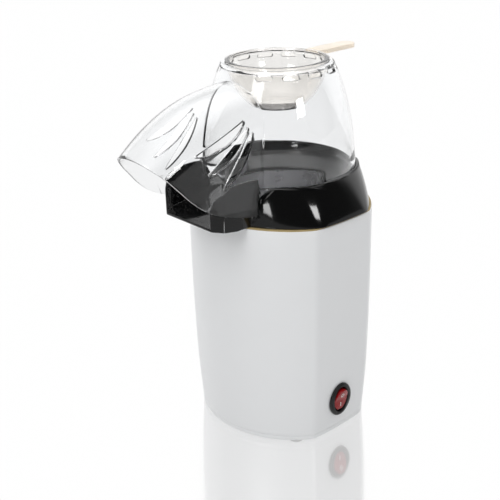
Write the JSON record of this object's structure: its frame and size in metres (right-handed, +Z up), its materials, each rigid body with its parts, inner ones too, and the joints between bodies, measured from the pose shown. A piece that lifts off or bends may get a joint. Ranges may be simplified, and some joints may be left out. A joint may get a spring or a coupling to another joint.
{
  "type": "hot air popcorn maker",
  "caption": "Countertop hot-air popcorn maker: tapered white body, black collar with open spout, clear lift-off hood with curved chute, measuring cup on top and a side rocker switch.",
  "frame": {"origin": "middle of the base cover's flat underside, on the body's vertical axis; the feet stand out 1.2 mm below it", "axes": "+Z up along the body, -Y along the spout and the hood's chute, +X out of the panel with the switch"},
  "size_m": [0.1502, 0.2267, 0.3012],
  "materials": {
    "white_plastic": "gloss",
    "black_plastic": "gloss",
    "clear_plastic": "gloss",
    "cup_plastic": "gloss",
    "seal": "matte",
    "switch_black": "satin",
    "switch_red": "gloss",
    "foot_rubber": "matte",
    "screw_steel": "satin",
    "chamber_aluminium": "satin",
    "duct_steel": "satin",
    "silicone": "matte",
    "mica": "matte",
    "heater_wire": "matte",
    "cutout_steel": "satin",
    "heat_resin": "matte",
    "motor_steel": "satin",
    "magnet": "matte",
    "bronze": "satin",
    "core_steel": "matte",
    "copper": "satin",
    "fan_nylon": "matte",
    "circuit_board": "satin",
    "part_black": "matte",
    "terminal_resin": "matte"
  },
  "bodies": {
    "stand": {"housing": "white_plastic", "base_cover": "white_plastic", "rubber_feet": "foot_rubber", "base_screws": "screw_steel", "collar": "black_plastic", "collar_seal": "seal", "collar_screws": "screw_steel", "popping_chamber": "chamber_aluminium", "chamber_gasket": "silicone", "hot_air_duct": "duct_steel", "chamber_screws": "screw_steel", "mica_frame": "mica", "heating_coil": "heater_wire", "thermostat": "cutout_steel", "thermal_fuse": "cutout_steel", "fan_base": "heat_resin", "motor_can": "motor_steel", "motor_end_cap": "part_black", "motor_bushes": "bronze", "motor_magnets": "magnet", "motor_screws": "screw_steel", "rectifier_board": "circuit_board", "rectifier_diodes": "part_black", "switch_housing": "switch_black", "switch_terminals": "bronze", "cord_bushing": "switch_black", "terminal_block": "terminal_resin", "terminal_screws": "screw_steel"},
    "fan_rotor": {"motor_shaft": "motor_steel", "rotor_core": "core_steel", "commutator": "copper", "impeller": "fan_nylon"},
    "rocker": {"switch_rocker": "switch_red"},
    "hood": {"hood": "clear_plastic"},
    "cup": {"measuring_cup": "cup_plastic"}
  },
  "joints": [
    {"name": "fan_spin", "type": "hinge", "parent": "stand", "child": "fan_rotor", "pos_m": [0, 0, 0.05], "axis": [0, 0, 1], "continuous": true},
    {"name": "rocker_tilt", "type": "hinge", "parent": "stand", "child": "rocker", "pos_m": [0.07001, -0.002, 0.03004], "axis": [0, 1, 0], "range_deg": [-16, 0]},
    {"name": "hood_lift", "type": "slide", "parent": "stand", "child": "hood", "axis": [0, 0, 1], "range_m": [0, 0.12]},
    {"name": "cup_lift", "type": "slide", "parent": "hood", "child": "cup", "axis": [0, 0, 1], "range_m": [0, 0.1]}
  ]
}
